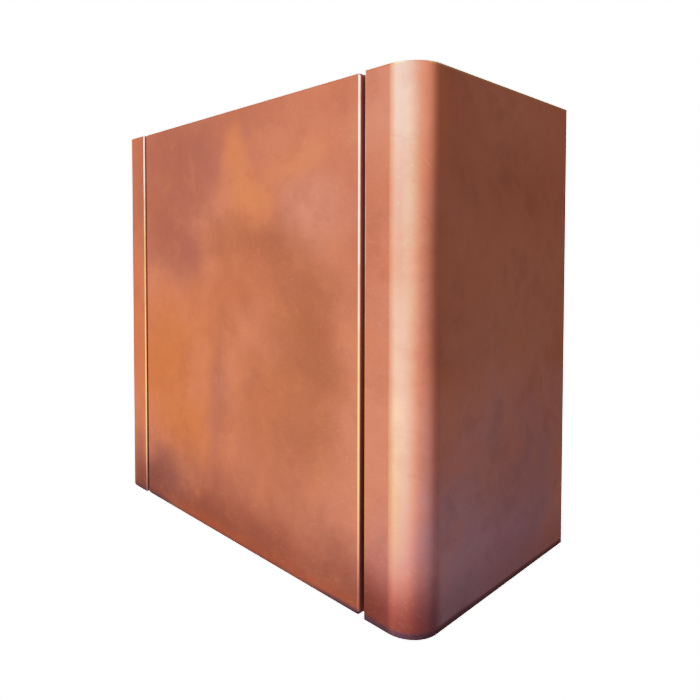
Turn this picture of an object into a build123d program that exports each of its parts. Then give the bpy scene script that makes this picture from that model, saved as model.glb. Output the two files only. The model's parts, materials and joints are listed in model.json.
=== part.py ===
# Wall mounted mailbox in flame-coloured copper sheet: two folded side shells with round front corners,
# a full-height door between them, a lid over the mail mouth on top, and a cam lock in the floor.
# Millimetres. Origin at the middle of the four wall holes, on the wall plane. +Z up, the front faces -Y.
import os

from build123d import *

# The box
width = 380.0  # across the two side walls
height = 360.0  # bottom edge to top edge of the case
depth = 202.0  # wall to front face
sheet = 1.2  # copper sheet
corner_radius = 22.0  # outside of the two round front corners
fold = 1.8  # outside radius of the tight folds

# The front
strip = 43.1  # flat and corner of a side shell seen from the front
gap = 3.4  # open joint between the door and each strip
flange = 14.0  # how far the door's folded edges reach back
door_corner = 3.0  # rounding of the door's four corners
shell_return = 17.5  # folded edge of a side shell beside the door
recess = 19.0  # the deck's and floor's front edges stand this far behind the front face
back_return = 25.0  # folded edge of a side shell against the wall

# Wall holes
hole_spacing_x = 300.0
hole_spacing_z = 260.0
hole_radius = 3.5
washer_radius = 11.0

# Back panel, floor and deck
back_inset = 2.0  # the back panel stops short of the side walls
lip_height = 14.0  # floor's front edge
deck_drop = 30.0  # deck's front edge
side_edge = 15.0  # folded edges of deck and floor against the walls
side_edge_front = 40.0  # their start, behind the front face
side_edge_back = 15.0  # their end, in front of the back panel
rear_edge_half = 170.0  # half the length of the folded rear edges
drain_x = (-120.0, -60.0, 0.0, 60.0, 120.0)
drain_y = -30.0
drain_radius = 3.0

# Door pivots: two upright pins near the door's left edge
pivot_in = 8.0  # from the door's left edge
pivot_back = 7.0  # behind the front face
pin_radius = 2.5
running_clearance = 0.05
bush_radius = 4.0
bush_flange_radius = 5.0
bush_flange = 1.0
pivot_play = 0.5  # between a bush and its bracket
bracket_plate = 2.5
bracket_eye = 4.5  # radius round the pin
bracket_arm = 14.0  # narrow part, from the pin to the right
bracket_step = 13.0  # start of the wide part
bracket_end = 44.0
bracket_arm_rear = 2.0  # behind the pin's middle
bracket_rivet_x = (20.0, 36.0)
bracket_rivet_z = 7.0  # from the plate's near face
pin_sunk = 0.3  # pin's tip inside the top or bottom edge
pin_head_radius = 4.0
pin_head = 2.0
pin_chamfer = 0.5

# Inside the door
pull_x = (50.0, 125.0)  # finger pull in the lower edge
pull_front = 4.0  # metal left in front of it
stiffener_x = (-70.0, 70.0)
stiffener_half = 9.0  # crest
stiffener_foot = 16.0  # half width over the feet
stiffener_height = 8.0
stiffener_clear = 40.0  # from the door's top and bottom

# Magnetic catch near the door's free edge
catch_x = 105.0
catch_drop = 20.0  # below the top edge
catch_half = (18.0, 7.0)
catch_round = 2.0
catch_start = 3.4  # behind the front face
catch_ear_half = (30.0, 5.0)
catch_ear = 2.5
catch_screw_offset = 24.0
screw_radius = 1.5
screw_head_radius = 3.0
screw_head = 1.8
screw_grip = 6.0  # past the deck's edge
screw_slot = (2.0, 0.4, 0.8)  # half length, half width, depth
magnet_half = (13.0, 4.0)
magnet_start = 2.9  # behind the front face
magnet_end = 10.0
strike_half = (17.0, 7.0)
bumper_in = 2.5  # from the door's right edge
bumper_radius = 4.5
bumper_round = 1.5
bumper_rise = 8.0  # from the top and bottom edges
bumper_gap = 0.3  # left to the closed door

# Mail mouth and lid
mouth_length = 310.0
mouth_depth = 105.0
mouth_y = -97.5  # middle of the mouth
neck_height = 4.5
neck_radius = 5.2
lid_side = 161.5  # half the lid's length
lid_front = -156.5
lid_rear = -39.5
lid_skirt_gap = 0.8
lid_corner = 6.0
lip_half = 45.0
lip_reach = 13.5
lip_root = 3.0  # under the lid's front fold
lip_corner = 8.0
dot_x = 135.0  # rubber dots under the lid
dot_radius = 3.4
dot_gap = 0.3  # left to the neck

# Lid hinges
hinge_y = -36.0
hinge_rise = 3.4  # pin above the deck
knuckle_radius = 3.0
hinge_pin_radius = 1.4
leaf = 1.2
hinge_length = 70.0
hinge_spacing = 190.0
knuckle_count = 5
knuckle_play = 0.2
knuckle_gap = 0.4  # from the knuckles to the other leaf's plate
leaf_reach = 20.0
leaf_rivet_x = (-24.0, 0.0, 24.0)
leaf_rivet_y = 13.0  # from the pin
pin_overhang = 0.5

# Cam lock in the floor
lock_x = 30.0
lock_back = 33.5  # behind the front face
barrel_radius = 8.5
barrel_rise = 16.0
lock_head = 2.5
lock_head_radius = 11.0
lock_head_round = 1.0
nut_half = 12.0  # half the width across flats
nut_height = 4.0
plug_radius = 5.5
plug_head = 2.2  # below the bottom edge
keyway = (0.7, 3.5, 6.0)  # half width, half length, top above the bottom edge
cam_gap = 0.5  # above the barrel
cam_plate = 2.0
cam_hub = 8.0
cam_reach = 26.0
cam_half = 5.0
cam_square = 6.0
cam_screw_rise = 10.0  # shank's lower end above the bottom edge
cam_screw_head = 2.4
cam_screw_head_radius = 4.4
cam_screw_slot = (2.4, 0.5, 1.2)  # half length, half width, floor above the cam

# Keeper inside the door
keeper_x = (-28.0, -12.0)  # from the lock's middle
keeper_rise = 21.5  # underside above the bottom edge
keeper_top = 42.0
keeper_play = 1.0  # behind the locked cam
keeper_lift = 1.5  # above the floor's front edge
keeper_round = 1.0

# Rivets
rivet_radius = 1.6
rivet_head_radius = 3.2
rivet_head = 1.1
rivet_round = 0.77  # rounding of the head's rim
return_rivet_z = (-160.0, -80.0, 0.0, 80.0, 160.0)  # up each wall return
edge_rivet_x = (-135.0, -45.0, 45.0, 135.0)  # along the rear edges of floor and deck
edge_rivet_in = 9.0  # from the top and bottom edges

# Modelling
beyond = 1.0  # how far a cut runs past the metal
near = 0.01  # for picking out edges by their place

left, right = -width / 2, width / 2
bottom, top = -height / 2, height / 2
front = -depth
panel_face = -2 * sheet  # inner face of the back panel
opening_half = width / 2 - strip  # half the distance between the strips
door_left = -opening_half + gap
door_right = opening_half - gap
pivot_x = door_left + pivot_in
pivot_y = front + pivot_back
lock_y = front + lock_back
hinge_z = top + hinge_rise
lid_under = hinge_rise + knuckle_radius  # underside of the lid above the deck
stop_face = front + recess  # front of the deck's and floor's folded edges
floor_rivet_z = bottom + edge_rivet_in
deck_rivet_z = top - edge_rivet_in
bracket_near = bush_flange + sheet + pivot_play  # from the top or bottom edge to the bracket's plate
catch_z = top - catch_drop
cam_z = (bottom + barrel_rise + cam_gap, bottom + barrel_rise + cam_gap + cam_plate)
rear_edge_cut = (panel_face - sheet - beyond, 0)
front_edge_cut = (stop_face - beyond, stop_face + sheet + beyond)
fixed_rivet_y = hinge_y + leaf_rivet_y
moving_rivet_y = hinge_y - leaf_rivet_y


def block(x, y, z):
    """A box from pairs of limits."""
    size = [b - a for a, b in (x, y, z)]
    middle = [(a + b) / 2 for a, b in (x, y, z)]
    return Pos(*middle) * Box(*size)


def upright(x, y, z, radius):
    """A round bar along Z between two heights."""
    return Pos(x, y, (z[0] + z[1]) / 2) * Cylinder(radius, z[1] - z[0])


def across(x, y, z, radius):
    """A round bar along Y between two depths."""
    return Pos(x, (y[0] + y[1]) / 2, z) * Rot(90, 0, 0) * Cylinder(radius, y[1] - y[0])


def along(x, y, z, radius):
    """A round bar along X between two places."""
    return Pos((x[0] + x[1]) / 2, y, z) * Rot(0, 90, 0) * Cylinder(radius, x[1] - x[0])


def folded_profile(points, radii):
    """Section of a folded sheet. The points run along its outer face and every fold turns right."""
    points = [Vector(*p) for p in points]
    normals = []
    for a, b in zip(points, points[1:]):
        run = (b - a).normalized()
        normals.append(Vector(run.Y, -run.X) * sheet)
    inner = [points[0] + normals[0]]
    for point, before, after in zip(points[1:-1], normals, normals[1:]):
        inner.append(point + before + after)
    inner.append(points[-1] + normals[-1])
    outside = FilletPolyline(*points, radius=radii)
    inside = FilletPolyline(*inner, radius=[r - sheet for r in radii])
    ends = [Line(outside @ 0, inside @ 0), Line(outside @ 1, inside @ 1)]
    return make_face([*outside.edges(), *inside.edges(), *ends])


def plan_face():
    """Plan of the space inside the two side shells, with its round front corners."""
    x, y = right - sheet, front + sheet
    points = [(-x, panel_face), (-x, y), (x, y), (x, panel_face)]
    line = FilletPolyline(*points, radius=corner_radius - sheet)
    return make_face([*line.edges(), Line(points[-1], points[0])])


# Case


def side_shell():
    """Right side shell: wall return, side wall, round corner, front strip and the edge beside the door."""
    points = [
        (right - back_return, 0),
        (right, 0),
        (right, front),
        (opening_half, front),
        (opening_half, front + shell_return),
    ]
    shell = Pos(0, 0, bottom) * extrude(folded_profile(points, [fold, corner_radius, fold]), height)
    for x, z in return_rivet_places():
        if x > 0:
            shell -= across(x, (panel_face, beyond), z, rivet_radius)
    return shell


def return_rivet_places():
    x = right - back_return / 2
    return [(side * x, z) for side in (-1, 1) for z in return_rivet_z]


def edge_rivet_places(z):
    """Rivets through the back panel and a folded edge of the floor or deck."""
    return [(x, z) for x in edge_rivet_x]


def wall_hole_places():
    x, z = hole_spacing_x / 2, hole_spacing_z / 2
    return [(-x, -z), (-x, z), (x, -z), (x, z)]


def back_panel():
    panel = block((left + back_inset, right - back_inset), (panel_face, -sheet), (bottom, top))
    for x, z in wall_hole_places():
        panel -= across(x, (panel_face - beyond, 0), z, hole_radius)
    rivets = return_rivet_places() + edge_rivet_places(floor_rivet_z) + edge_rivet_places(deck_rivet_z)
    for x, z in rivets:
        panel -= across(x, (panel_face - beyond, 0), z, rivet_radius)
    return panel


def folded_plate(outer, inner, edge_end, front_end):
    """Floor or deck: a flat plate from height outer to inner, with edges folded to the given heights."""
    low, high = sorted((outer, inner))
    plate = Pos(0, 0, low) * extrude(plan_face(), high - low)
    span = (-opening_half - sheet, opening_half + sheet)
    plate -= block(span, (front, stop_face + 2 * fold), (low - beyond, high + beyond))
    lip = block(span, (stop_face, stop_face + 2 * fold), sorted((outer, front_end)))
    rim = lip.edges().filter_by(Axis.X).filter_by(lambda e: abs(e.center().Z - outer) < near)
    lip = fillet(rim.sort_by(Axis.Y)[0], fold)
    behind = sorted((inner, front_end + (front_end - outer)))
    core = block((-width, width), (stop_face + sheet, stop_face + 3 * fold), behind)
    rim = core.edges().filter_by(Axis.X).filter_by(lambda e: abs(e.center().Z - inner) < near)
    core = fillet(rim.sort_by(Axis.Y)[0], fold - sheet)
    plate += lip - core
    edge_z = sorted((inner, edge_end))
    wall = right - sheet
    for side in (-1, 1):
        x = sorted((side * wall, side * (wall - sheet)))
        plate += block(x, (front + side_edge_front, panel_face - side_edge_back), edge_z)
    return plate + block((-rear_edge_half, rear_edge_half), (panel_face - sheet, panel_face), edge_z)


def floor_tray():
    tray = folded_plate(bottom, bottom + sheet, bottom + side_edge, bottom + lip_height)
    through = (bottom - beyond, bottom + sheet + beyond)
    tray -= upright(lock_x, lock_y, through, barrel_radius)
    for x in drain_x:
        tray -= upright(x, drain_y, through, drain_radius)
    for x, z in edge_rivet_places(floor_rivet_z):
        tray -= across(x, rear_edge_cut, z, rivet_radius)
    for x, z in bracket_rivet_places(bottom, 1):
        tray -= across(x, front_edge_cut, z, rivet_radius)
    return tray


def top_deck():
    deck = folded_plate(top, top - sheet, top - side_edge, top - deck_drop)
    neck = RectangleRounded(mouth_length + 2 * sheet, mouth_depth + 2 * sheet, neck_radius)
    mouth = RectangleRounded(mouth_length, mouth_depth, neck_radius - sheet)
    deck += Pos(0, mouth_y, top - sheet) * extrude(neck, sheet + neck_height)
    deck -= Pos(0, mouth_y, top - 2 * sheet) * extrude(mouth, 3 * sheet + neck_height)
    for x, z in edge_rivet_places(deck_rivet_z):
        deck -= across(x, rear_edge_cut, z, rivet_radius)
    for x, z in bracket_rivet_places(top, -1):
        deck -= across(x, front_edge_cut, z, rivet_radius)
    for x, z in catch_screw_places():
        deck -= across(x, front_edge_cut, z, screw_radius)
    for x in hinge_rivet_places():
        deck -= upright(x, fixed_rivet_y, (top - sheet - beyond, top + beyond), rivet_radius)
    return deck


def rivet_along_y(x, z, tail, head):
    """Flush at tail, with a low domed head standing off at the far side of head."""
    sign = -1 if head < tail else 1
    shank = across(x, sorted((tail, head)), z, rivet_radius)
    dome = across(x, sorted((head, head + sign * rivet_head)), z, rivet_head_radius)
    rim = dome.edges().filter_by(GeomType.CIRCLE)
    rim = rim.filter_by(lambda e: abs(e.center().Y - (head + sign * rivet_head)) < near)
    return shank + fillet(rim, rivet_round)


def return_rivets():
    return [rivet_along_y(x, z, 0, panel_face) for x, z in return_rivet_places()]


def floor_rivets():
    return [rivet_along_y(x, z, -sheet, panel_face - sheet) for x, z in edge_rivet_places(floor_rivet_z)]


def deck_rivets():
    return [rivet_along_y(x, z, -sheet, panel_face - sheet) for x, z in edge_rivet_places(deck_rivet_z)]


def wall_washers():
    washers = []
    for x, z in wall_hole_places():
        washers.append(across(x, (-sheet, 0), z, washer_radius) - across(x, (panel_face, beyond), z, hole_radius))
    return washers


# Door pivots


def bracket_rivet_places(edge, sign):
    z = edge + sign * (bracket_near + bracket_rivet_z)
    return [(pivot_x + x, z) for x in bracket_rivet_x]


def pivot_bracket(edge, sign):
    """Cranked plate that holds a pin: it leaves the pin to the right, clear of the door's folded edge."""
    plate_z = sorted((edge + sign * bracket_near, edge + sign * (bracket_near + bracket_plate)))
    leg_z = sorted((edge + sign * bracket_near, edge + sign * (lip_height - beyond)))
    wide_x = (pivot_x + bracket_step, pivot_x + bracket_end)
    near_y = pivot_y - bracket_eye
    eye = upright(pivot_x, pivot_y, plate_z, bracket_eye)
    arm = block((pivot_x, pivot_x + bracket_arm), (near_y, pivot_y + bracket_arm_rear), plate_z)
    wide = block(wide_x, (near_y, stop_face), plate_z)
    leg = block(wide_x, (stop_face - bracket_plate, stop_face), leg_z)
    bracket = eye + arm + wide + leg
    bracket -= upright(pivot_x, pivot_y, (plate_z[0] - beyond, plate_z[1] + beyond), pin_radius)
    for x, z in bracket_rivet_places(edge, sign):
        bracket -= across(x, (stop_face - bracket_plate - beyond, stop_face + beyond), z, rivet_radius)
    return bracket


def pivot_pin(edge, sign):
    far = bracket_near + bracket_plate
    shank = sorted((edge + sign * pin_sunk, edge + sign * far))
    head = sorted((edge + sign * far, edge + sign * (far + pin_head)))
    pin = upright(pivot_x, pivot_y, shank, pin_radius) + upright(pivot_x, pivot_y, head, pin_head_radius)
    tip = pin.edges().filter_by(GeomType.CIRCLE).sort_by(lambda e: abs(e.center().Z - edge))[0]
    return chamfer(tip, pin_chamfer)


def bracket_rivets():
    rivets = []
    for edge, sign in ((bottom, 1), (top, -1)):
        for x, z in bracket_rivet_places(edge, sign):
            rivets.append(rivet_along_y(x, z, stop_face - bracket_plate, stop_face + sheet))
    return rivets


def door_bush(edge, sign):
    body_z = sorted((edge, edge + sign * (sheet + bush_flange)))
    rim_z = sorted((edge + sign * sheet, edge + sign * (sheet + bush_flange)))
    bush = upright(pivot_x, pivot_y, body_z, bush_radius) + upright(pivot_x, pivot_y, rim_z, bush_flange_radius)
    return bush - upright(pivot_x, pivot_y, (body_z[0] - beyond, body_z[1] + beyond), pin_radius + running_clearance)


# Door


def soft_front(shape, corner, rim):
    """Round a box's four edges along Y, then the rim of its front face."""
    shape = fillet(shape.edges().filter_by(Axis.Y), corner)
    return fillet(shape.faces().sort_by(Axis.Y)[0].edges(), rim)


def door_panel():
    """Shallow tray: front sheet with all four edges folded back. A notch in the lower edge is the finger pull."""
    x, z = (door_left, door_right), (bottom, top)
    shell = block(x, (front, front + flange), z)
    hollow = block(
        (door_left + sheet, door_right - sheet),
        (front + sheet, front + flange + beyond),
        (bottom + sheet, top - sheet),
    )
    panel = soft_front(shell, door_corner, fold) - soft_front(hollow, door_corner - sheet, fold - sheet)
    for edge in (bottom, top):
        panel -= upright(pivot_x, pivot_y, (edge - 2 * sheet, edge + 2 * sheet), bush_radius)
    panel -= block(pull_x, (front + pull_front, front + flange + beyond), (bottom - beyond, bottom + sheet + beyond))
    return panel


def door_stiffeners():
    """Two upright hat sections soldered inside the door."""
    ribs = []
    rib_z = (bottom + stiffener_clear, top - stiffener_clear)
    inside = front + sheet
    hollow_half = stiffener_half - sheet
    for x in stiffener_x:
        rib = block((x - stiffener_half, x + stiffener_half), (inside, inside + stiffener_height), rib_z)
        crest = rib.faces().sort_by(Axis.Y)[-1].edges().filter_by(Axis.Z)
        rib = fillet(crest, fold)
        rib += block((x - stiffener_foot, x + stiffener_foot), (inside, inside + sheet), rib_z)
        hollow_y = (inside - beyond, inside + stiffener_height - sheet)
        core = block((x - hollow_half, x + hollow_half), hollow_y, (bottom, top))
        ribs.append(rib - core)
    return ribs


# Magnetic catch


def catch_screw_places():
    return [(catch_x - catch_screw_offset, catch_z), (catch_x + catch_screw_offset, catch_z)]


def catch_block(half, y):
    """A box centred on the catch, from half its width and height."""
    return block((catch_x - half[0], catch_x + half[0]), y, (catch_z - half[1], catch_z + half[1]))


def catch_housing():
    body = catch_block(catch_half, (front + catch_start, stop_face))
    body = fillet(body.edges().filter_by(Axis.Y), catch_round)
    body += catch_block(catch_ear_half, (stop_face - catch_ear, stop_face))
    body -= catch_block(magnet_half, (front, front + magnet_end))
    for x, z in catch_screw_places():
        body -= across(x, (stop_face - catch_ear - beyond, stop_face + beyond), z, screw_radius)
    return body


def catch_magnet():
    return catch_block(magnet_half, (front + magnet_start, front + magnet_end))


def catch_screws():
    screws = []
    seat = stop_face - catch_ear
    half_length, half_width, slot_depth = screw_slot
    slot_y = (seat - screw_head - beyond, seat - screw_head + slot_depth)
    for x, z in catch_screw_places():
        head = across(x, (seat - screw_head, seat), z, screw_head_radius)
        shank = across(x, (seat, stop_face + screw_grip), z, screw_radius)
        slot = block((x - half_length, x + half_length), slot_y, (z - half_width, z + half_width))
        screws.append(head + shank - slot)
    return screws


def strike_plate():
    plate = catch_block(strike_half, (front + sheet, front + 2 * sheet))
    return fillet(plate.edges().filter_by(Axis.Y), catch_round)


def door_bumpers():
    bumpers = []
    x = door_right - bumper_in
    for z in (bottom + bumper_rise, top - bumper_rise):
        pad = across(x, (front + flange + bumper_gap, stop_face), z, bumper_radius)
        rim = pad.edges().filter_by(GeomType.CIRCLE).sort_by(Axis.Y)[0]
        bumpers.append(fillet(rim, bumper_round))
    return bumpers


# Cam lock


def lock_barrel():
    barrel = upright(lock_x, lock_y, (bottom, bottom + barrel_rise), barrel_radius)
    head = upright(lock_x, lock_y, (bottom - lock_head, bottom), lock_head_radius)
    rim = head.edges().filter_by(GeomType.CIRCLE).sort_by(Axis.Z)[0]
    barrel += fillet(rim, lock_head_round)
    through = (bottom - lock_head - beyond, bottom + barrel_rise + beyond)
    return barrel - upright(lock_x, lock_y, through, plug_radius + running_clearance)


def lock_nut():
    hexagon = RegularPolygon(nut_half, 6, major_radius=False)
    nut = Pos(lock_x, lock_y, bottom + sheet) * extrude(hexagon, nut_height)
    return nut - upright(lock_x, lock_y, (bottom, bottom + sheet + nut_height + beyond), barrel_radius)


def lock_plug():
    plug = upright(lock_x, lock_y, (bottom - plug_head, cam_z[0]), plug_radius)
    half = cam_square / 2
    plug += block((lock_x - half, lock_x + half), (lock_y - half, lock_y + half), cam_z)
    half_width, half_length, key_top = keyway
    key_z = (bottom - plug_head - beyond, bottom + key_top)
    plug -= block((lock_x - half_width, lock_x + half_width), (lock_y - half_length, lock_y + half_length), key_z)
    return plug - upright(lock_x, lock_y, (bottom + cam_screw_rise, cam_z[1] + beyond), screw_radius)


def lock_cam():
    """Rests unlocked, pointing at the door. A quarter turn to the left brings it in front of the keeper."""
    cam = upright(lock_x, lock_y, cam_z, cam_hub)
    tip = lock_y - cam_reach + cam_half
    cam += block((lock_x - cam_half, lock_x + cam_half), (tip, lock_y), cam_z)
    cam += upright(lock_x, tip, cam_z, cam_half)
    half = cam_square / 2
    through = (cam_z[0] - beyond, cam_z[1] + beyond)
    return cam - block((lock_x - half, lock_x + half), (lock_y - half, lock_y + half), through)


def cam_screw():
    head = upright(lock_x, lock_y, (cam_z[1], cam_z[1] + cam_screw_head), cam_screw_head_radius)
    shank = upright(lock_x, lock_y, (bottom + cam_screw_rise, cam_z[1]), screw_radius)
    half_length, half_width, slot_floor = cam_screw_slot
    slot_z = (cam_z[1] + slot_floor, cam_z[1] + cam_screw_head + beyond)
    slot = block((lock_x - half_length, lock_x + half_length), (lock_y - half_width, lock_y + half_width), slot_z)
    return head + shank - slot


def lock_keeper():
    """Bracket soldered inside the door. Its turned-down end stands behind the cam when that is locked."""
    x = (lock_x + keeper_x[0], lock_x + keeper_x[1])
    inside = front + sheet
    plate_z = (bottom + keeper_rise, bottom + keeper_rise + sheet)
    end = lock_y + cam_half + keeper_play
    keeper = block(x, (inside, inside + sheet), (plate_z[0], bottom + keeper_top))
    keeper += block(x, (inside, end + sheet), plate_z)
    keeper += block(x, (end, end + sheet), (bottom + lip_height + keeper_lift, plate_z[1]))
    outer = keeper.edges().filter_by(Axis.X).filter_by(lambda e: abs(e.center().Z - plate_z[1]) < near)
    outer = outer.filter_by(lambda e: abs(e.center().Y - end - sheet) < near)
    return fillet(outer, keeper_round)


# Lid


def hinge_places():
    return (-hinge_spacing / 2, hinge_spacing / 2)


def hinge_rivet_places():
    return [x + offset for x in hinge_places() for offset in leaf_rivet_x]


def lid_panel():
    """Cap over the neck, with a skirt on three sides and a finger lip in front."""
    roof = top + lid_under + sheet
    outer = block((-lid_side, lid_side), (lid_front, lid_rear), (top + lid_skirt_gap, roof))
    corners = outer.edges().filter_by(Axis.Z).sort_by(Axis.Y)[:2]
    outer = fillet(corners, lid_corner)
    rim = outer.edges().filter_by(lambda e: abs(e.center().Z - roof) < near)
    rim = rim.filter_by(lambda e: e.center().Y < lid_rear - near)
    outer = fillet(rim, fold)
    hollow = block(
        (-lid_side + sheet, lid_side - sheet),
        (lid_front + sheet, lid_rear + beyond),
        (top - beyond, top + lid_under),
    )
    hollow = fillet(hollow.edges().filter_by(Axis.Z).sort_by(Axis.Y)[:2], lid_corner - sheet)
    lip = block((-lip_half, lip_half), (lid_front - lip_reach, lid_front + lip_root), (roof - sheet, roof))
    lip = fillet(lip.edges().filter_by(Axis.Z).sort_by(Axis.Y)[:2], lip_corner)
    lid = outer - hollow + lip
    for x in hinge_rivet_places():
        lid -= upright(x, moving_rivet_y, (top + lid_under - beyond, roof + beyond), rivet_radius)
    return lid


def hinge_leaf(x, moving):
    """Half of a butt hinge: a plate and every other knuckle."""
    start = x - hinge_length / 2
    pitch = hinge_length / knuckle_count
    reach = knuckle_radius + knuckle_gap
    if moving:
        plate_y = (hinge_y - leaf_reach, hinge_y - reach)
        plate_z = (hinge_z + knuckle_radius - leaf, hinge_z + knuckle_radius)
        rivet_y, bore = moving_rivet_y, hinge_pin_radius + running_clearance
    else:
        plate_y = (hinge_y + reach, hinge_y + leaf_reach)
        plate_z = (top, top + leaf)
        rivet_y, bore = fixed_rivet_y, hinge_pin_radius
    half = block((start, start + hinge_length), plate_y, plate_z)
    for i in range(knuckle_count):
        if (i % 2 == 1) == moving:
            span = (start + i * pitch + knuckle_play, start + (i + 1) * pitch - knuckle_play)
            web_y = (plate_y[1] - beyond, hinge_y) if moving else (hinge_y, plate_y[0] + beyond)
            half += along(span, hinge_y, hinge_z, knuckle_radius)
            half += block(span, web_y, plate_z)
    half -= along((start - beyond, start + hinge_length + beyond), hinge_y, hinge_z, bore)
    for rivet_x in hinge_rivet_places():
        if abs(rivet_x - x) < hinge_length / 2:
            half -= upright(rivet_x, rivet_y, (plate_z[0] - beyond, plate_z[1] + beyond), rivet_radius)
    return half


def hinge_pins():
    half = hinge_length / 2 + pin_overhang
    return [along((x - half, x + half), hinge_y, hinge_z, hinge_pin_radius) for x in hinge_places()]


def rivet_along_z(x, y, tail, head):
    shank = upright(x, y, (tail, head), rivet_radius)
    dome = upright(x, y, (head, head + rivet_head), rivet_head_radius)
    rim = dome.edges().filter_by(GeomType.CIRCLE).sort_by(Axis.Z)[-1]
    return shank + fillet(rim, rivet_round)


def fixed_leaf_rivets():
    return [rivet_along_z(x, fixed_rivet_y, top - sheet, top + leaf) for x in hinge_rivet_places()]


def moving_leaf_rivets():
    tail, head = top + lid_under - leaf, top + lid_under + sheet
    return [rivet_along_z(x, moving_rivet_y, tail, head) for x in hinge_rivet_places()]


def lid_bumpers():
    """Rubber dots under the lid, just over the neck's front corners."""
    y = mouth_y - mouth_depth / 2 - sheet / 2
    z = (top + neck_height + dot_gap, top + lid_under)
    return [upright(x, y, z, dot_radius) for x in (-dot_x, dot_x)]


def mirrored(shape):
    return shape.mirror(Plane.YZ)


nodes = {
    "left_side_shell": lambda: mirrored(side_shell()),
    "right_side_shell": side_shell,
    "back_panel": back_panel,
    "floor_tray": floor_tray,
    "top_deck": top_deck,
    "return_rivets": return_rivets,
    "floor_rivets": floor_rivets,
    "deck_rivets": deck_rivets,
    "wall_washers": wall_washers,
    "upper_pivot_bracket": lambda: pivot_bracket(top, -1),
    "lower_pivot_bracket": lambda: pivot_bracket(bottom, 1),
    "upper_pivot_pin": lambda: pivot_pin(top, -1),
    "lower_pivot_pin": lambda: pivot_pin(bottom, 1),
    "bracket_rivets": bracket_rivets,
    "door_bumpers": door_bumpers,
    "catch_housing": catch_housing,
    "catch_magnet": catch_magnet,
    "catch_screws": catch_screws,
    "lock_barrel": lock_barrel,
    "lock_nut": lock_nut,
    "fixed_hinge_leaves": lambda: [hinge_leaf(x, False) for x in hinge_places()],
    "lid_hinge_pins": hinge_pins,
    "fixed_leaf_rivets": fixed_leaf_rivets,
    "door_panel": door_panel,
    "door_stiffeners": door_stiffeners,
    "upper_door_bush": lambda: door_bush(top, -1),
    "lower_door_bush": lambda: door_bush(bottom, 1),
    "strike_plate": strike_plate,
    "lock_keeper": lock_keeper,
    "lid_panel": lid_panel,
    "moving_hinge_leaves": lambda: [hinge_leaf(x, True) for x in hinge_places()],
    "moving_leaf_rivets": moving_leaf_rivets,
    "lid_bumpers": lid_bumpers,
    "lock_plug": lock_plug,
    "lock_cam": lock_cam,
    "cam_screw": cam_screw,
}

os.makedirs("parts", exist_ok=True)
for name, make in nodes.items():
    made = make()
    solids = made if isinstance(made, list) else [made]
    export_step(Compound(children=[s for part in solids for s in part.solids()]), f"parts/{name}.step")
    print(name, len(solids))
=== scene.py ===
import json
import math

import bpy
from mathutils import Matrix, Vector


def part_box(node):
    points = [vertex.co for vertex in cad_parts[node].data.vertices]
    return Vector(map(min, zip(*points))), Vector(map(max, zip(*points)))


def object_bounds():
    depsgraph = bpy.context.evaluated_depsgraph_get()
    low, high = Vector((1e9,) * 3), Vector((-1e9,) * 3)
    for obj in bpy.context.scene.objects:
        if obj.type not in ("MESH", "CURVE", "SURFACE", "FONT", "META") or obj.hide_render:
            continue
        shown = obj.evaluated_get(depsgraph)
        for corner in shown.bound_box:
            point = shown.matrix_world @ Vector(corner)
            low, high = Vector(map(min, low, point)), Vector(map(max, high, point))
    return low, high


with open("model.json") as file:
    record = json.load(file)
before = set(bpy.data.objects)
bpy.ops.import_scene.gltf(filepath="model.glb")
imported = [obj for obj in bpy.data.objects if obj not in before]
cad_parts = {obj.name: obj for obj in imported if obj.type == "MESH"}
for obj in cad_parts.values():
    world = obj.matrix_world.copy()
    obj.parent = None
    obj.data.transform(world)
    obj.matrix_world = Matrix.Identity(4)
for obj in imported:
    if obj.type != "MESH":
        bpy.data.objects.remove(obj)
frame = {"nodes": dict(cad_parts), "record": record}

cadLow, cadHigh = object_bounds()
nodes = frame["nodes"]
print("frame loaded,", len(nodes), "nodes")


class Wire:
    # a number running through a node tree: arithmetic on it adds Math nodes
    def __init__(self, recipe, socket):
        self.recipe = recipe
        self.socket = socket

    def __add__(self, other):
        return self.recipe.maths("ADD", self, other)

    def __radd__(self, other):
        return self.recipe.maths("ADD", other, self)

    def __sub__(self, other):
        return self.recipe.maths("SUBTRACT", self, other)

    def __rsub__(self, other):
        return self.recipe.maths("SUBTRACT", other, self)

    def __mul__(self, other):
        return self.recipe.maths("MULTIPLY", self, other)

    def __rmul__(self, other):
        return self.recipe.maths("MULTIPLY", other, self)


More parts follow.
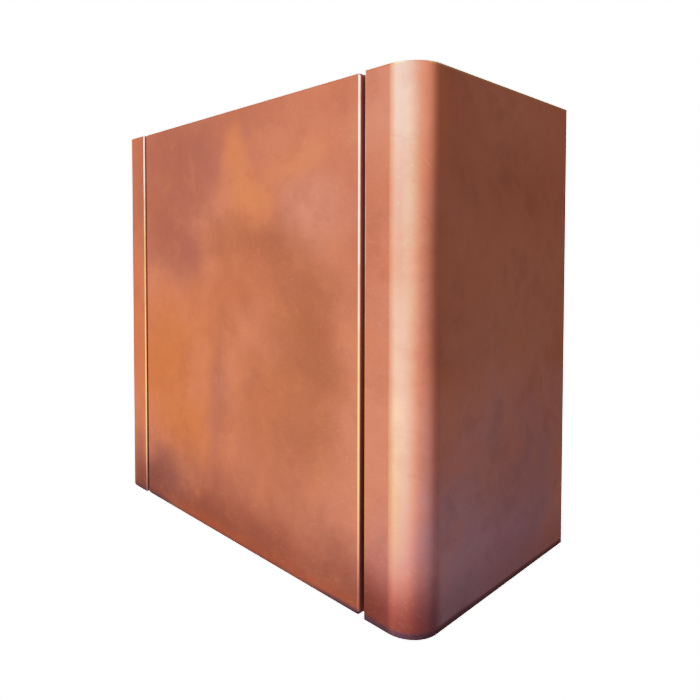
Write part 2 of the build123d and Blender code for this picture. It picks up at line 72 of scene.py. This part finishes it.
class Recipe:
    # one node tree, written as short lines
    def __init__(self, tree):
        self.tree = tree
        tree.nodes.clear()

    def add(self, kind, settings=None, values=None, out=0):
        node = self.tree.nodes.new(kind)
        for name, value in (settings or {}).items():
            setattr(node, name, value)
        for name, value in (values or {}).items():
            if isinstance(value, Wire):
                self.tree.links.new(value.socket, node.inputs[name])
            else:
                node.inputs[name].default_value = value
        return Wire(self, node.outputs[out]) if node.outputs else None

    def maths(self, how, *numbers):
        return self.add("ShaderNodeMath", {"operation": how}, dict(enumerate(numbers)))

    def vector(self, how, *vectors, out=0):
        return self.add("ShaderNodeVectorMath", {"operation": how}, dict(enumerate(vectors)), out)

    def place(self):
        return self.add("ShaderNodeTexCoord", out=3)  # the Object output

    def parts(self, vector):
        split = self.add("ShaderNodeSeparateXYZ", values={0: vector})
        return [Wire(self, socket) for socket in split.socket.node.outputs]

    def mapped(self, vector, centre=(0, 0, 0), turn=(0, 0, 0), size=(1, 1, 1)):
        values = {"Vector": vector, "Location": centre, "Rotation": turn, "Scale": size}
        return self.add("ShaderNodeMapping", {"vector_type": "TEXTURE"}, values)

    def noise(self, vector, scale, detail=2.0, rough=0.5, warp=0.0, out=0):
        values = {"Vector": vector, "Scale": scale, "Detail": detail, "Roughness": rough, "Distortion": warp}
        return self.add("ShaderNodeTexNoise", values=values, out=out)

    def cells(self, vector, scale, feature="F1", out=0):
        return self.add("ShaderNodeTexVoronoi", {"feature": feature}, {"Vector": vector, "Scale": scale}, out)

    def soft(self, value, low, high):
        # 0 at low, 1 at high, with a soft start and end
        values = {"Value": value, "From Min": low, "From Max": high}
        return self.add("ShaderNodeMapRange", {"interpolation_type": "SMOOTHSTEP"}, values)

    def mix(self, share, a, b, how="MIX"):
        # a Mix node's colours are its sockets 6 and 7, and its output 2
        return self.add("ShaderNodeMix", {"data_type": "RGBA", "blend_type": how}, {0: share, 6: a, 7: b}, 2)

    def bump(self, height):
        # height in metres
        return self.add("ShaderNodeBump", values={"Strength": 1.0, "Distance": 1.0, "Height": height})

    def surface(self, values):
        shader = self.add("ShaderNodeBsdfPrincipled", values=values)
        self.add("ShaderNodeOutputMaterial", values={"Surface": shader})


def tone(red, green, blue):
    # a colour as a painter's 0 to 255 values, turned into light
    def light(part):
        part = part / 255
        return part / 12.92 if part <= 0.04045 else ((part + 0.055) / 1.055) ** 2.4
    return (light(red), light(green), light(blue), 1.0)


def newMaterial(name):
    material = bpy.data.materials.new(name)
    material.use_nodes = True
    return material, Recipe(material.node_tree)


# Flame-coloured copper: the torch leaves soft clouds of salmon, orange, gold, umber and plum under a clear lacquer.
flame = {
    "salmon": tone(246, 142, 110),
    "rose": tone(220, 120, 90),
    "ember": tone(246, 122, 86),
    "mauve": tone(185, 105, 90),
    "plum": tone(162, 90, 74),
    "umber": tone(192, 106, 72),
    "orange": tone(255, 144, 92),
    "gold": tone(236, 128, 74),
    "bronze": tone(214, 116, 76),
    # painted highlight along the top edge of the round corners
    "strawHighlight": tone(255, 196, 118),
    "navy": tone(104, 62, 66),
    "ink": tone(90, 58, 70),
    # heat tint with a painted reflection of the floor, low on the side walls
    "lilacAndReflection": tone(206, 164, 186),
    # painted shade: darker towards the bottom edge, and low on the right strip
    "lowShadeTone": tone(190, 150, 140),
    "stripShadeTone": tone(196, 168, 170),
    "haze": tone(206, 126, 122),
    "blush": tone(252, 160, 134),
    "dusk": tone(128, 80, 84),
    "dust": tone(244, 156, 132),
    # painted highlight for the round corners
    "highlightCream": tone(255, 180, 132),
    "cinder": tone(196, 86, 56),
    # pale bare metal for rub marks and flecks, and the painted highlight high on the folds
    "bareMetalAndHighlight": tone(255, 214, 186),
    "rust": tone(200, 92, 58),
    # painted shade on the faces inside the joints, darker at the bottom
    "joint": tone(164, 84, 66),
    "jointShadeLow": tone(112, 54, 46),
    # painted highlight low on the folds
    "foldHighlight": tone(255, 170, 92),
    "inside": tone(190, 122, 96),
    "insideDark": tone(138, 86, 70),
    "grazingTint": (0.90, 0.50, 0.36, 1.0),
    "lacquer": 0.15,
    "lacquerRoughness": 0.10,
    "lacquerIor": 1.5,
    "roughness": 0.21,
    "waviness": 0.0009,
    "grit": 0.000008,
    "drift": 0.05,
    "ragged": 0.75,  # how torn the cloud edges are
    "speckles": 0.10,
    "blotches": 0.16,
    "rubs": 0.10,
    "fleckScale": 34.0,
    "flecks": 0.8,
}

# noise on the flamed sheet: scale, detail, roughness
flameGrain = {
    "drift": (9.0, 3.0, 0.55),
    "broad": (7.0, 2.0, 0.5),
    "middle": (19.0, 4.0, 0.6),
    "fine": (70.0, 4.0, 0.65),
    "blotches": (34.0, 5.0, 0.68),
    "patches": (40.0, 3.0, 0.6),
    "rubs": (14.0, 4.0, 0.65),
    "waves": (5.0, 1.0, 0.4),
}

# places on the flamed sheet, in metres
sheetAt = {
    "bendX": 0.168,  # the round corners begin here, from the middle
    "bendY": -0.180,  # and end here
    "jointX": 0.1452,  # middle of each joint beside the door
    "lidDepth": 0.0975,  # middle of the lid, in front of the wall
}

# bands on the flamed sheet, in metres: where each starts and where it is full
sheetBands = {
    "strips": (0.140, 0.150),  # outwards, past the joints
    "lowShade": (-0.122, -0.170),  # downwards
    "stripShadeDown": (-0.118, -0.170),
    "stripShadeFront": (-0.172, -0.184),  # not on the side walls
    "glowDown": (-0.158, -0.172),
    "glowRight": (-0.120, -0.060),
    "lineDown": (-0.163, -0.175),
    "lineThins": (-0.140, -0.060),  # the heat line is taller left of this
    "inkDown": (-0.1735, -0.1770),
    "inkEnds": (0.080, 0.125),  # outwards, darker
    "rimFront": (-0.1990, -0.2005),  # keeps the painted highlight along the top off the deck
    "rimOut": (0.0195, 0.0210),
    "topUp": (0.1784, 0.1794),
    "topEnd": (0.1830, 0.1815),
    "topBend": (0.0, 0.008),  # painted highlight: ember on the flat front, straw from the corners on
    "folds": (0.0036, 0.0030),  # towards the middle of a joint
    "wearAndHighlightFront": (-0.1985, -0.2005),
    "wearAndHighlightUp": (-0.176, -0.090),
    "wearAndHighlightPale": (0.02, 0.12),
    "outerSkin": (0.0209, 0.0215),  # outwards from the middle of the round corners
    "outerTop": (0.1790, 0.1796),
    "lidSides": (0.1608, 0.1600),
    "lidEnds": (0.0585, 0.0575),
    "lidSheet": (0.1872, 0.1868),  # below the lid's top face
    "jointFront": (-0.2018, -0.2009),
    "jointBack": (-0.1700, -0.1840),
    "jointUp": (-0.150, 0.060),
}

# where the torch lingered: middle and reach in millimetres (x, y, z), turn about Y in degrees, colour, strength
torchClouds = [
    ((-172, -202, 30), (34, 60, 230), 0, "ember", 0.85),
    ((168, -202, 0), (40, 60, 230), 0, "rose", 0.35),
    ((160, -202, 172), (44, 60, 70), 0, "blush", 0.60),
    ((-80, -202, 150), (125, 60, 80), 0, "mauve", 0.90),
    ((0, -202, 172), (90, 60, 40), 0, "mauve", 0.70),
    ((-105, -202, 85), (85, 60, 60), 0, "mauve", 0.75),
    ((-84, -202, 60), (64, 60, 52), 10, "mauve", 0.85),
    ((10, -202, 178), (70, 60, 30), 0, "rose", 0.60),
    ((70, -202, 150), (60, 60, 40), 0, "salmon", 0.55),
    ((120, -202, 175), (70, 60, 40), 0, "rose", 0.80),
    ((92, -202, 92), (60, 60, 52), 0, "blush", 0.50),
    ((-5, -202, 74), (62, 60, 34), 0, "umber", 0.75),
    ((62, -202, 66), (75, 60, 38), 28, "umber", 0.80),
    ((96, -202, 8), (56, 60, 85), -12, "umber", 0.95),
    ((78, -202, -28), (80, 60, 60), 0, "umber", 0.70),
    ((8, -202, 150), (26, 60, 32), 0, "orange", 0.75),
    ((22, -202, 112), (46, 60, 34), 20, "orange", 0.80),
    ((80, -202, 132), (40, 60, 20), 0, "orange", 0.50),
    ((-105, -202, -28), (100, 60, 75), 0, "gold", 0.90),
    ((-76, -202, -98), (85, 60, 72), 0, "gold", 0.90),
    ((-30, -202, 0), (60, 60, 60), 0, "gold", 0.60),
    ((8, -202, 28), (75, 60, 55), 0, "bronze", 0.80),
    ((-25, -202, -70), (26, 60, 95), 0, "mauve", 0.60),
    ((45, -202, -60), (85, 60, 70), 0, "bronze", 0.85),
    ((50, -202, -125), (125, 60, 66), 0, "rose", 0.60),
    ((70, -202, -100), (90, 60, 60), 0, "umber", 0.35),
    ((112, -202, -112), (44, 60, 46), 0, "salmon", 0.40),
    ((96, -202, -60), (50, 60, 60), 0, "umber", 0.45),
    ((0, -202, -178), (260, 60, 66), 0, "plum", 0.80),
    ((-125, -202, -165), (100, 60, 70), -14, "dusk", 0.75),
    ((125, -202, -150), (50, 60, 50), 0, "plum", 0.50),
    ((170, -202, -140), (34, 60, 60), 0, "haze", 0.60),
    ((-180, -202, -178), (60, 60, 90), 0, "dusk", 0.60),
]

# the heat tint on the side walls and along the round corners, with a painted highlight and painted shade down the
# round corners and a painted floor reflection low on the side walls
wallClouds = [
    ((190, -60, 20), (60, 200, 330), "dust", 0.80),
    ((190, -120, 60), (60, 120, 60), "salmon", 0.35),
    ((190, -60, 110), (60, 120, 50), "rose", 0.50),
    # heat tint low on the side walls, with a painted reflection of the floor
    ((194, -140, -190), (12, 330, 200), "lilacAndReflection", 1.0),
    ((197, -60, -110), (14, 120, 70), "mauve", 0.40),
    # painted highlight down the round corner
    ((182, -197, 110), (7, 7, 140), "highlightCream", 0.30),
    ((190.5, -183.5, -60), (6.5, 9, 200), "cinder", 0.40),
    ((190, -176, 165), (10, 14, 90), "orange", 0.45),
    # painted shade on the lower part of the round corner's highlight
    ((187, -194, -155), (9, 11, 75), "haze", 0.65),
    ((173, -202, -95), (7, 6, 85), "orange", 0.55),
]


def flamedCopper(name):
    material, r = newMaterial(name)
    place = r.place()
    x, y, z = r.parts(place)
    drift = r.vector("SUBTRACT", r.noise(place, *flameGrain["drift"], out=1), (0.5, 0.5, 0.5))
    wandering = r.vector("MULTIPLY_ADD", drift, (flame["drift"],) * 3, place)
    broad = r.noise(wandering, *flameGrain["broad"])
    middle = r.noise(wandering, *flameGrain["middle"])
    fine = r.noise(place, *flameGrain["fine"])
    torn = (middle - 0.5) * flame["ragged"]

    def band(value, which):
        return r.soft(value, *sheetBands[which])

    def cloud(colour, point, centre, reach, turn, shade, strength):
        local = r.mapped(point, [v / 1000 for v in centre], (0, math.radians(turn), 0), [v / 1000 for v in reach])
        mask = r.soft(r.vector("LENGTH", local, out=1) + torn, 1.1, 0.05)
        return r.mix(mask * strength, colour, flame[shade])

    across = r.maths("MAXIMUM", r.maths("ABSOLUTE", x) - sheetAt["bendX"], 0.0)
    colour = r.mix(r.soft(broad, 0.40, 0.66), flame["salmon"], flame["rose"])
    for centre, reach, turn, shade, strength in torchClouds:
        colour = cloud(colour, wandering, centre, reach, turn, shade, strength)
    sideways = r.add("ShaderNodeCombineXYZ", values={0: r.maths("ABSOLUTE", x), 1: y, 2: z})
    for centre, reach, shade, strength in wallClouds:
        colour = cloud(colour, sideways, centre, reach, 0, shade, strength)
    colour = r.mix(r.soft(fine, 0.35, 0.75) * flame["speckles"], colour, flame["umber"])
    blotches = r.noise(wandering, *flameGrain["blotches"])
    colour = r.mix(r.soft(blotches, 0.50, 0.66) * flame["blotches"], colour, flame["plum"])
    colour = r.mix(r.soft(blotches, 0.48, 0.34) * flame["blotches"], colour, flame["orange"])

    # painted shade darker towards the bottom edge and darker still low on the right strip; a rusty glow on the door
    onStrip = band(r.maths("ABSOLUTE", x), "strips")
    paintedLowShade = band(z + middle * 0.02, "lowShade")
    colour = r.mix(paintedLowShade * 0.50, colour, flame["lowShadeTone"], "MULTIPLY")
    paintedStripShade = band(z + middle * 0.006, "stripShadeDown") * band(x, "strips") * band(y, "stripShadeFront")
    colour = r.mix(paintedStripShade, colour, flame["stripShadeTone"], "MULTIPLY")
    glow = band(z + middle * 0.012, "glowDown") * (1 - onStrip) * band(x, "glowRight")
    colour = r.mix(glow * 0.45, colour, flame["rust"])

    # a dark heat line along the bottom, inked at its lower edge, and a painted highlight along the top edge
    lowEdge = band(z + middle * 0.008 + band(x, "lineThins") * 0.008, "lineDown")
    colour = r.mix(lowEdge * 0.70, colour, flame["navy"])
    inked = band(z + middle * 0.002, "inkDown")
    inked = inked * (0.30 + 0.70 * band(r.maths("ABSOLUTE", x), "inkEnds"))
    colour = r.mix(inked * 0.9, colour, flame["ink"])
    rim = r.maths("MAXIMUM", band(y, "rimFront"), band(across, "rimOut"))
    paintedTopHighlight = band(z, "topUp") * band(z, "topEnd") * rim
    colour = r.mix(paintedTopHighlight * 0.8, colour, r.mix(band(across, "topBend"), flame["ember"], flame["strawHighlight"]))

    # paler metal where the tight folds beside the joints have been handled, with a painted highlight along those
    # folds, whitish high up and golden lower down
    foldLine = r.maths("ABSOLUTE", r.maths("ABSOLUTE", x) - sheetAt["jointX"])
    beside = band(foldLine, "folds")
    patchy = r.soft(r.noise(place, *flameGrain["patches"]), 0.30, 0.62)
    foldWearAndHighlight = r.mix(band(z + x * 0.3, "wearAndHighlightPale"), flame["foldHighlight"], flame["bareMetalAndHighlight"])
    foldWearAndHighlightShare = beside * band(y, "wearAndHighlightFront") * band(z, "wearAndHighlightUp") * (0.5 + 0.5 * patchy)
    colour = r.mix(foldWearAndHighlightShare, colour, foldWearAndHighlight)

    # the inner faces, and the deck under the lid, keep a duller mill finish
    deep = r.maths("MAXIMUM", sheetAt["bendY"] - y, 0.0)
    skin = r.maths("SQRT", across * across + deep * deep)
    outer = band(skin, "outerSkin")
    outer = r.maths("MAXIMUM", outer, band(z, "outerTop"))
    underLid = band(r.maths("ABSOLUTE", x), "lidSides")
    underLid = underLid * band(r.maths("ABSOLUTE", y + sheetAt["lidDepth"]), "lidEnds")
    outer = outer * (1 - underLid * band(z, "lidSheet"))
    inner = r.mix(r.soft(broad, 0.35, 0.7), flame["inside"], flame["insideDark"])
    colour = r.mix(outer, inner, colour)
    # painted shade on the faces inside the joints beside the door, darker towards the bottom
    jointShadeMask = beside * band(y, "jointFront") * band(y, "jointBack")
    jointShadeTone = r.mix(band(z, "jointUp"), flame["jointShadeLow"], flame["joint"])
    colour = r.mix(jointShadeMask, colour, jointShadeTone)

    # faint diagonal rub marks and small stray flecks
    rubbed = r.mapped(place, turn=(math.radians(34), 0, math.radians(8)), size=(0.05, 0.012, 0.35))
    marks = r.noise(rubbed, *flameGrain["rubs"])
    colour = r.mix(r.soft(marks, 0.54, 0.76) * flame["rubs"], colour, flame["bareMetalAndHighlight"], "SCREEN")
    fleckAt = r.cells(place, flame["fleckScale"])
    fleckPick = r.parts(r.cells(place, flame["fleckScale"], out=1))[0]
    fleck = r.soft(fleckAt, 0.022, 0.012) * r.soft(fleckPick, 0.970, 0.975)
    colour = r.mix(fleck * flame["flecks"], colour, flame["bareMetalAndHighlight"])

    dull = 1 - outer
    roughness = flame["roughness"] + 0.08 * (middle - 0.5) + 0.04 * r.soft(marks, 0.5, 0.75)
    roughness = roughness + 0.04 * (fine - 0.5) + dull * 0.20
    waves = r.noise(place, *flameGrain["waves"]) * flame["waviness"] + fine * flame["grit"]
    r.surface({
        "Base Color": colour,
        "Metallic": 1 - dull * 0.6,
        "Roughness": roughness,
        "Normal": r.bump(waves),
        "Specular Tint": flame["grazingTint"],
        "Coat Weight": flame["lacquer"],
        "Coat Roughness": flame["lacquerRoughness"],
        "Coat IOR": flame["lacquerIor"],
    })
    return material


mill = {
    "light": tone(205, 142, 115),
    "mid": tone(184, 116, 90),
    "dark": tone(122, 76, 62),
    "stain": tone(96, 66, 60),
    "bright": tone(238, 188, 160),
    "broad": (6.0, 3.0, 0.55, 0.2),  # scale, detail, roughness, warp
    "smudge": (13.0, 4.0, 0.62, 0.15),
    "lines": (12.0, 3.0, 0.6),
    "rolling": (0.35, 0.01, 0.006),
    "edge": (0.158, 0.180),
    "holeX": 0.150,
    "holeZ": 0.130,
    "ring": (0.0175, 0.0125),
    "roughness": 0.34,
    "unevenness": 0.0006,
    "lineDepth": 0.000012,
}


def millCopper(name):
    # plain rolled copper: faint rolling lines, handling smudges, rubbed rings round the wall holes
    material, r = newMaterial(name)
    place = r.place()
    x, y, z = r.parts(place)
    broad = r.noise(place, *mill["broad"])
    smudge = r.noise(place, *mill["smudge"])
    lines = r.noise(r.mapped(place, size=mill["rolling"]), *mill["lines"])
    colour = r.mix(r.soft(broad, 0.35, 0.70), mill["light"], mill["mid"])
    colour = r.mix(r.soft(smudge, 0.50, 0.74) * 0.50, colour, mill["dark"])
    colour = r.mix(lines * 0.16, colour, mill["bright"])
    edge = r.soft(r.maths("ABSOLUTE", z), *mill["edge"])
    colour = r.mix(edge * 0.45, colour, mill["stain"])
    fromX = r.maths("ABSOLUTE", x) - mill["holeX"]
    fromZ = r.maths("ABSOLUTE", z) - mill["holeZ"]
    far = r.maths("SQRT", fromX * fromX + fromZ * fromZ)
    ring = r.soft(far, *mill["ring"])
    colour = r.mix(ring * 0.6 * r.soft(smudge, 0.35, 0.6), colour, mill["bright"])
    roughness = mill["roughness"] + 0.18 * (smudge - 0.5) + 0.08 * (lines - 0.5) - ring * 0.06
    height = broad * mill["unevenness"] + lines * mill["lineDepth"]
    r.surface({"Base Color": colour, "Metallic": 1.0, "Roughness": roughness, "Normal": r.bump(height)})
    return material


def metalPiece(name, look):
    # small metal parts: two colours in drifting patches, tarnish in the hollows of the noise, fine scratches
    material, r = newMaterial(name)
    place = r.place()
    patches = r.noise(place, look["patchScale"], 3.0, 0.6, 0.8)
    tarnish = r.noise(place, look["patchScale"] * 2.6, 4.0, 0.65)
    scratches = r.noise(r.mapped(place, turn=look["grainTurn"], size=look["grain"]), 1.0, 3.0, 0.6)
    colour = r.mix(r.soft(patches, 0.35, 0.65), look["light"], look["mid"])
    colour = r.mix(r.soft(tarnish, 0.55, 0.75) * look["tarnishShare"], colour, look["tarnish"])
    colour = r.mix(r.soft(scratches, 0.60, 0.75) * 0.35, colour, look["bright"])
    roughness = look["roughness"] + 0.16 * (patches - 0.5) + 0.14 * r.soft(tarnish, 0.5, 0.75)
    roughness = roughness + 0.06 * (scratches - 0.5)
    height = scratches * look["scratchDepth"] + tarnish * look["scratchDepth"]
    r.surface({"Base Color": colour, "Metallic": 1.0, "Roughness": roughness, "Normal": r.bump(height)})
    return material


metalLooks = {
    "rivet_copper": {
        "light": tone(214, 140, 108), "mid": tone(190, 112, 84),
        "tarnish": tone(104, 62, 54), "bright": tone(250, 196, 164),
        "tarnishShare": 0.7, "patchScale": 160.0, "grain": (0.002, 0.0006, 0.0006), "grainTurn": (0.3, 0.5, 0.2),
        "roughness": 0.28, "scratchDepth": 0.000025,
    },
    "steel_pin": {
        "light": tone(205, 205, 203), "mid": tone(170, 171, 172),
        "tarnish": tone(110, 100, 92), "bright": tone(240, 240, 240),
        "tarnishShare": 0.4, "patchScale": 220.0, "grain": (0.02, 0.02, 0.00025), "grainTurn": (0, 0, 0),
        "roughness": 0.24, "scratchDepth": 0.00001,
    },
    "lock_chrome": {
        "light": tone(226, 227, 230), "mid": tone(208, 210, 214),
        "tarnish": tone(150, 148, 146), "bright": tone(250, 250, 250),
        "tarnishShare": 0.35, "patchScale": 120.0, "grain": (0.004, 0.0003, 0.004), "grainTurn": (0, 0, 0.6),
        "roughness": 0.13, "scratchDepth": 0.000006,
    },
    "brass": {
        "light": tone(222, 184, 112), "mid": tone(198, 156, 84),
        "tarnish": tone(120, 88, 50), "bright": tone(250, 224, 160),
        "tarnishShare": 0.6, "patchScale": 90.0, "grain": (0.012, 0.0003, 0.0003), "grainTurn": (0, 0, 0),
        "roughness": 0.27, "scratchDepth": 0.00001,
    },
}


zinc = {
    "light": tone(176, 180, 184),
    "dark": tone(150, 155, 160),
    "glint": tone(200, 204, 206),
    "bloom": tone(205, 206, 204),
    "border": tone(120, 124, 128),
    "wander": 0.003,
    "flakeScale": 210.0,
    "roughness": 0.30,
    "depth": 0.00002,
}


def zincSteel(name):
    # galvanised sheet: crystal spangle, dull white bloom
    material, r = newMaterial(name)
    place = r.place()
    wander = r.vector("MULTIPLY_ADD", r.noise(place, 140.0, 2.0, 0.5, out=1), (zinc["wander"],) * 3, place)
    flakes = r.parts(r.cells(wander, zinc["flakeScale"], out=1))
    border = r.cells(wander, zinc["flakeScale"], "DISTANCE_TO_EDGE")
    bloom = r.noise(place, 70.0, 4.0, 0.65, 0.6)
    colour = r.mix(flakes[0], zinc["light"], zinc["dark"])
    colour = r.mix(r.soft(flakes[1], 0.55, 0.95) * 0.6, colour, zinc["glint"])
    colour = r.mix(r.soft(bloom, 0.52, 0.75) * 0.6, colour, zinc["bloom"])
    colour = r.mix(r.soft(border, 0.05, 0.0) * 0.35, colour, zinc["border"])
    roughness = zinc["roughness"] + 0.16 * flakes[1] + 0.16 * r.soft(bloom, 0.5, 0.75)
    height = flakes[2] * zinc["depth"] + bloom * zinc["depth"]
    r.surface({"Base Color": colour, "Metallic": 0.95, "Roughness": roughness, "Normal": r.bump(height)})
    return material


def mouldedPiece(name, look):
    # moulded plastic and rubber: a fine spark texture, dust and scuffs
    material, r = newMaterial(name)
    place = r.place()
    cloud = r.noise(place, look["cloudScale"], 3.0, 0.55)
    dust = r.noise(place, look["cloudScale"] * 5.0, 4.0, 0.65)
    texture = r.noise(place, look["textureScale"], 2.0, 0.6)
    colour = r.mix(r.soft(cloud, 0.35, 0.7), look["light"], look["dark"])
    colour = r.mix(r.soft(dust, 0.56, 0.78) * look["dustShare"], colour, look["dust"])
    roughness = look["roughness"] + 0.14 * (cloud - 0.5) + 0.12 * r.soft(dust, 0.5, 0.8)
    height = texture * look["textureDepth"]
    r.surface({"Base Color": colour, "Roughness": roughness, "Normal": r.bump(height), "IOR": look["ior"]})
    return material


mouldedLooks = {
    "magnet": {
        "light": tone(70, 68, 66), "dark": tone(52, 50, 50), "dust": tone(120, 116, 110), "dustShare": 0.35,
        "cloudScale": 120.0, "textureScale": 1500.0, "textureDepth": 0.00003, "roughness": 0.55, "ior": 1.6,
    },
    "catch_plastic": {
        "light": tone(92, 66, 52), "dark": tone(74, 52, 42), "dust": tone(130, 104, 88), "dustShare": 0.25,
        "cloudScale": 60.0, "textureScale": 2200.0, "textureDepth": 0.00003, "roughness": 0.42, "ior": 1.5,
    },
    "nylon": {
        "light": tone(232, 228, 214), "dark": tone(220, 214, 198), "dust": tone(170, 160, 144), "dustShare": 0.4,
        "cloudScale": 120.0, "textureScale": 1500.0, "textureDepth": 0.00001, "roughness": 0.38, "ior": 1.53,
    },
    "rubber": {
        "light": tone(46, 45, 45), "dark": tone(33, 32, 33), "dust": tone(110, 104, 98), "dustShare": 0.35,
        "cloudScale": 90.0, "textureScale": 1300.0, "textureDepth": 0.00004, "roughness": 0.72, "ior": 1.5,
    },
}

madeSlots = {
    "flamed_copper": flamedCopper("flamedCopper"),
    "plain_copper": millCopper("millCopper"),
    "zinc_steel": zincSteel("zincSteel"),
}
for slotName, look in metalLooks.items():
    madeSlots[slotName] = metalPiece(slotName.replace("_c", "C").replace("_p", "P"), look)
for slotName, look in mouldedLooks.items():
    madeSlots[slotName] = mouldedPiece(slotName.replace("_p", "P"), look)
print("materials made:", len(madeSlots))

slotOf = {part["node"]: part["material_slot"] for part in frame["record"]["subparts"]}
for name, piece in nodes.items():
    piece.data.materials.clear()
    piece.data.materials.append(madeSlots[slotOf[name]])
print("every node has its finish")

# Studio: a pale floor well below, soft light from a wide window in front and a low fill on the left
studio = {
    "floorDrop": 0.66,
    "floorSize": 14.0,
    "floorTone": tone(232, 232, 232),
    "ambient": (0.215, 0.215, 0.215),
    "backdrop": 2.4,
    # soft panels, in degrees from the front towards +X and above the level: left, right, low, high, the softness of
    # each edge, strength, tint
    "panels": [
        (-30, 78, -30, 62, (7, 66, 16, 20), 1.36, (1.0, 0.97, 0.97)),
        (-20, 37, -26, -4, (12, 34, 14, 6), 1.32, (0.90, 1.13, 1.42)),
        (-20, 42, 4, 60, (12, 34, 6, 16), 1.20, (0.66, 1.12, 1.78)),
        (62, 118, 8, 60, (20, 24, 6, 16), 0.38, (1.0, 0.92, 0.86)),
        (90, 130, -24, -9, (14, 14, 6, 6), 0.14, (0.9, 1.05, 1.2)),
        (-112, -18, -40, 75, (26, 22, 24, 20), 0.72, (1.0, 0.98, 0.94)),
        (-181, 181, 62, 91, (1, 1, 20, 1), 0.75, (1.0, 1.0, 1.0)),
        (-172, -128, -20, 40, (14, 14, 14, 20), 0.70, (1.0, 1.0, 1.0)),
    ],
    "underglow": (0.02, 0.03, 0.06),
    "underglowEdge": (-40, -5),  # degrees above the level
    # how bright light settles on the film: light in, tone out
    "film": [
        (0, 0), (0.25, 0.255), (0.4, 0.385), (0.6, 0.53), (0.87, 0.69),
        (1.3, 0.79), (1.8, 0.86), (2.1, 0.91), (2.4, 1.0),
    ],
}

lowest = cadLow.z - studio["floorDrop"]
bpy.ops.mesh.primitive_grid_add(
    x_subdivisions=4, y_subdivisions=4, size=studio["floorSize"], location=(0, 0, lowest)
)
floor = bpy.context.object
floor.name = "floor"
floor.visible_glossy = False
floorMaterial, r = newMaterial("paleFloor")
seen = r.add("ShaderNodeLightPath")
lit = r.add("ShaderNodeBsdfDiffuse", values={"Color": studio["floorTone"]})
paper = r.add("ShaderNodeEmission", values={"Color": (1, 1, 1, 1), "Strength": studio["backdrop"]})
shown = r.add("ShaderNodeMixShader", values={0: seen, 1: lit, 2: paper})
r.add("ShaderNodeOutputMaterial", values={"Surface": shown})
floor.data.materials.append(floorMaterial)

world = bpy.data.worlds.new("studioLight")
bpy.context.scene.world = world
world.use_nodes = True
r = Recipe(world.node_tree)
outward = r.parts(r.add("ShaderNodeTexCoord", out=0))
degrees = 180 / math.pi
heading = r.maths("ARCTAN2", outward[0], 0 - outward[1]) * degrees
height = r.maths("ARCSINE", outward[2]) * degrees
under = tuple(a + b for a, b in zip(studio["ambient"], studio["underglow"])) + (1.0,)
light = r.mix(r.soft(height, *studio["underglowEdge"]), under, studio["ambient"] + (1.0,))
for left, right, low, high, soft, strength, tint in studio["panels"]:
    glow = r.soft(heading, left - soft[0], left + soft[0]) * r.soft(heading, right + soft[1], right - soft[1])
    glow = glow * r.soft(height, low - soft[2], low + soft[2]) * r.soft(height, high + soft[3], high - soft[3])
    light = r.mix(glow, light, tuple(strength * part for part in tint) + (1.0,), "ADD")
around = r.add("ShaderNodeBackground", values={"Color": light, "Strength": 1.0})
behind = r.add("ShaderNodeBackground", values={"Color": (1, 1, 1, 1), "Strength": studio["backdrop"]})
seen = r.add("ShaderNodeLightPath")
shown = r.add("ShaderNodeMixShader", values={0: seen, 1: around, 2: behind})
r.add("ShaderNodeOutputWorld", values={"Surface": shown})
print("studio lit")

# Camera: in front of the box's right half, a little above its middle, turned to the left
view = {
    "ahead": 0.2934,  # in front of the door
    "aside": 0.2187,  # right of the right wall
    "rise": 0.2422,  # above the bottom edge
    "heading": 46.743,
    "dip": 1.794,
    "lens": 30.947,
    "sensor": 36,
    "clip": (0.01, 60),
    "shift": (0.0556, -0.1109),
}
wallLow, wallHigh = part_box("right_side_shell")
cameraData = bpy.data.cameras.new("camera")
camera = bpy.data.objects.new("camera", cameraData)
bpy.context.scene.collection.objects.link(camera)
camera.location = (wallHigh.x + view["aside"], wallLow.y - view["ahead"], wallLow.z + view["rise"])
camera.rotation_euler = (math.radians(90 - view["dip"]), 0, math.radians(view["heading"]))
cameraData.lens = view["lens"]
cameraData.sensor_width = view["sensor"]
cameraData.shift_x, cameraData.shift_y = view["shift"]
cameraData.clip_start, cameraData.clip_end = view["clip"]
bpy.context.scene.camera = camera

film = bpy.context.scene.view_settings
film.view_transform = "Standard"
film.look = "None"
film.use_curve_mapping = True
film.curve_mapping.white_level = (studio["backdrop"],) * 3
shoulder = film.curve_mapping.curves[3]
for index, (into, out) in enumerate(studio["film"]):
    if index < len(shoulder.points):
        shoulder.points[index].location = (into / studio["backdrop"], out)
    else:
        shoulder.points.new(into / studio["backdrop"], out)
film.curve_mapping.update()
print("camera set")
